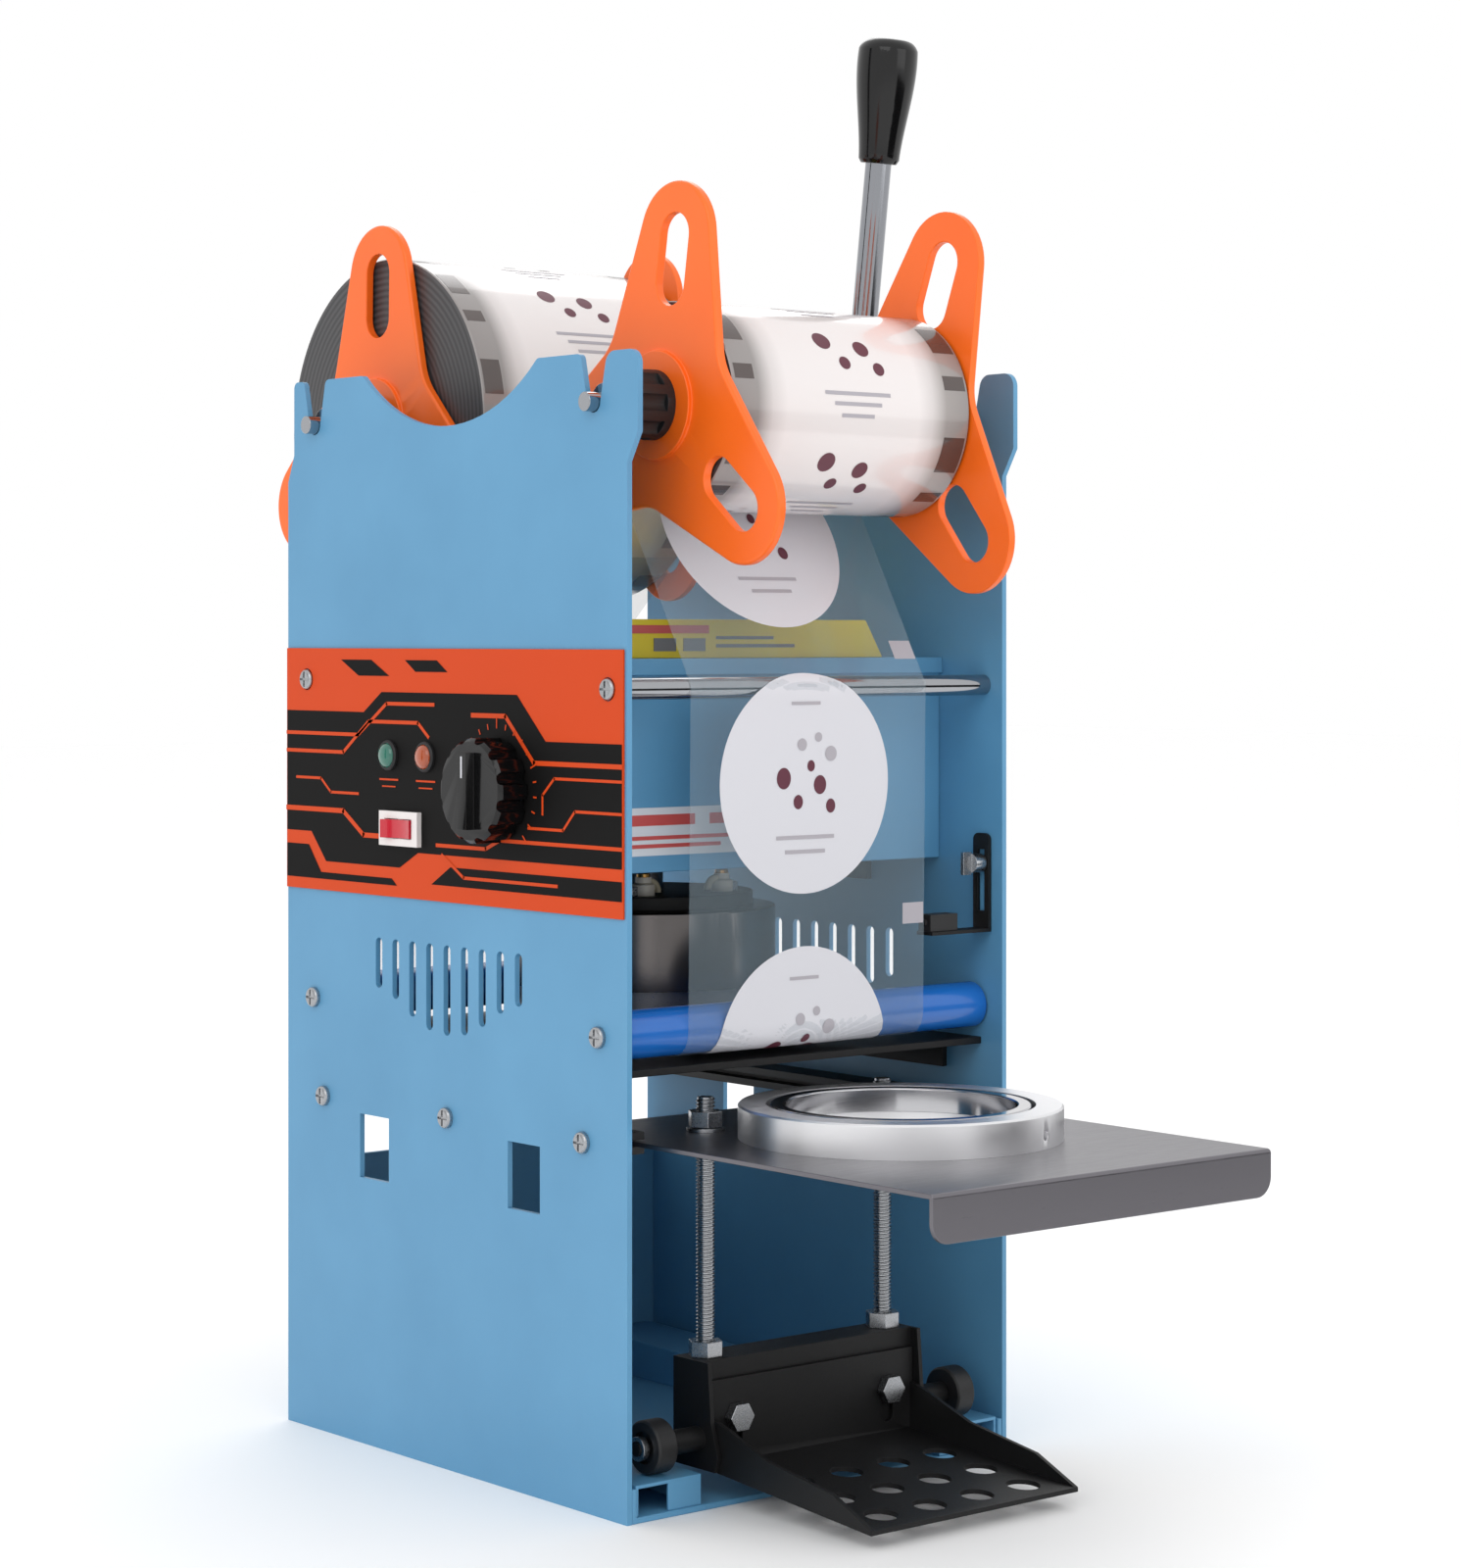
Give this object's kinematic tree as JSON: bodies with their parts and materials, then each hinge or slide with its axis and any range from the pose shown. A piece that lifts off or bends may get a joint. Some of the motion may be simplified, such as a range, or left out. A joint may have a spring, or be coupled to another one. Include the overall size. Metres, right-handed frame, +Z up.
{
  "type": "cup sealing machine",
  "caption": "Hand-operated cup sealing machine: a side lever presses a heated head through printed film onto a cup held in a sliding tray.",
  "frame": {"origin": "middle of the base's underside, on the floor, halfway between the side plates", "axes": "+X towards the lever's side plate, +Y towards the back (the tray slides out towards -Y), +Z up"},
  "size_m": [0.2562, 0.4845, 0.6304],
  "materials": {
    "blue_paint": "smooth blue powder coat",
    "zinc_steel": "bright zinc plate",
    "bronze": "turned bearing bronze",
    "bare_steel": "machined",
    "spring_steel": "drawn wire",
    "black_plastic": "fine texture",
    "gloss_black": "polished",
    "yellow_paint": "satin",
    "chrome": "mirror plate",
    "black_coat": "matte black coat",
    "roller_blue": "smooth sleeve",
    "clear_film": "clear lidding film",
    "film_roll": "wound printed film",
    "orange_plastic": "moulded",
    "polished_steel": "polished",
    "heater_alloy": "machined",
    "stainless": "brushed sheet",
    "satin_aluminium": "satin turned",
    "polished_aluminium": "polished",
    "panel_print": "printed film overlay",
    "lamp_lens": "tinted lens",
    "switch_white": "moulded",
    "switch_red": "moulded"
  },
  "bodies": {
    "frame": {"left_side_plate": "blue_paint", "right_side_plate": "blue_paint", "side_screws": "zinc_steel", "base_plate": "blue_paint", "ramp_rails": "blue_paint", "tray_rails": "black_plastic", "bushes": "bronze", "guide_deck": "black_coat", "guide_posts": "bare_steel", "return_springs": "spring_steel", "cross_panels": "blue_paint", "power_inlet": "black_plastic", "top_shelf": "blue_paint", "drive_cover": "yellow_paint", "cross_rods": "chrome", "film_table": "black_coat", "film_web": "clear_film", "film_span": "clear_film", "control_facia": "panel_print", "thermostat": "black_plastic", "lamps": "lamp_lens", "switch_frame": "switch_white", "sensor_screw": "zinc_steel"},
    "lever": {"lever_shaft": "bare_steel", "lever_hub": "chrome", "lever_rod": "chrome", "lever_grip": "gloss_black", "crank_arms": "bare_steel"},
    "press_head": {"head_housing": "polished_steel", "heater_plate": "heater_alloy", "cutter_ring": "bare_steel", "head_plate": "black_coat", "head_bolts": "zinc_steel", "head_stem": "bare_steel", "crosshead": "bare_steel"},
    "front_reel": {"front_film_roll": "film_roll", "front_flanges": "orange_plastic", "front_spindle": "chrome", "front_spindle_nuts": "black_plastic"},
    "rear_reel": {"rear_film_roll": "film_roll", "rear_flanges": "orange_plastic", "rear_spindle": "chrome", "rear_spindle_nuts": "black_plastic"},
    "front_guide_roller": {"front_roller": "roller_blue"},
    "rear_guide_roller": {"rear_roller": "roller_blue"},
    "carriage": {"tray_plate": "stainless", "rod_bushes": "zinc_steel", "cup_ring": "satin_aluminium", "inner_ring": "polished_aluminium"},
    "lift": {"lift_rods": "zinc_steel", "lift_nuts": "zinc_steel", "lift_bracket": "black_coat", "clamp_fasteners": "zinc_steel"},
    "wheels": {"lift_wheels": "black_plastic"},
    "platform": {"cup_platform": "black_coat"},
    "knob": {"thermostat_knob": "gloss_black"},
    "rocker": {"switch_rocker": "switch_red"},
    "sensor_arm": {"sensor_bracket": "black_coat", "film_sensor": "black_plastic"}
  },
  "joints": [
    {"name": "lever_turn", "type": "hinge", "parent": "frame", "child": "lever", "pos_m": [0, 0.004, 0.34], "axis": [1, 0, 0], "range_deg": [0, 73]},
    {"name": "head_slide", "type": "slide", "parent": "frame", "child": "press_head", "axis": [0, 0, -1], "range_m": [0, 0.022], "stiffness_N_per_m": 900, "springref_m": -0.03, "deforming": ["return_springs", "film_span"]},
    {"name": "front_reel_turn", "type": "hinge", "parent": "frame", "child": "front_reel", "pos_m": [0, -0.103, 0.45], "axis": [1, 0, 0], "continuous": true},
    {"name": "rear_reel_turn", "type": "hinge", "parent": "frame", "child": "rear_reel", "pos_m": [0, 0.103, 0.45], "axis": [1, 0, 0], "continuous": true},
    {"name": "front_roller_turn", "type": "hinge", "parent": "frame", "child": "front_guide_roller", "pos_m": [0, -0.1065, 0.1935], "axis": [1, 0, 0], "continuous": true},
    {"name": "rear_roller_turn", "type": "hinge", "parent": "frame", "child": "rear_guide_roller", "pos_m": [0, 0.103, 0.1935], "axis": [1, 0, 0], "continuous": true},
    {"name": "tray_slide", "type": "slide", "parent": "frame", "child": "carriage", "axis": [0, 1, 0], "range_m": [0, 0.1717]},
    {"name": "lift_slide", "type": "slide", "parent": "carriage", "child": "lift", "axis": [0, 0, 1], "range_m": [0, 0.004]},
    {"name": "wheel_turn", "type": "hinge", "parent": "lift", "child": "wheels", "pos_m": [0, -0.113, 0.02656], "axis": [1, 0, 0], "range_deg": [-900, 10]},
    {"name": "platform_height", "type": "slide", "parent": "lift", "child": "platform", "axis": [0, 0, 1], "range_m": [0, 0.011]},
    {"name": "knob_turn", "type": "hinge", "parent": "frame", "child": "knob", "pos_m": [-0.113, -0.038, 0.291], "axis": [-1, 0, 0], "range_deg": [0, 270]},
    {"name": "rocker_tilt", "type": "hinge", "parent": "frame", "child": "rocker", "pos_m": [-0.1066, 0.032, 0.272], "axis": [0, 0, -1], "range_deg": [0, 14]},
    {"name": "sensor_height", "type": "slide", "parent": "frame", "child": "sensor_arm", "axis": [0, 0, 1], "range_m": [-0.003, 0.015]}
  ],
  "couplings": [
    {"joint": "head_slide", "follows": "lever_turn", "m_per_rad": 0.017267},
    {"joint": "rear_reel_turn", "follows": "front_reel_turn", "ratio": 0.55844},
    {"joint": "front_roller_turn", "follows": "front_reel_turn", "ratio": -4.3},
    {"joint": "rear_roller_turn", "follows": "front_reel_turn", "ratio": -4.3},
    {"joint": "lift_slide", "follows": "tray_slide", "ratio": 0.023296},
    {"joint": "wheel_turn", "follows": "tray_slide", "rad_per_m": -90.909}
  ]
}
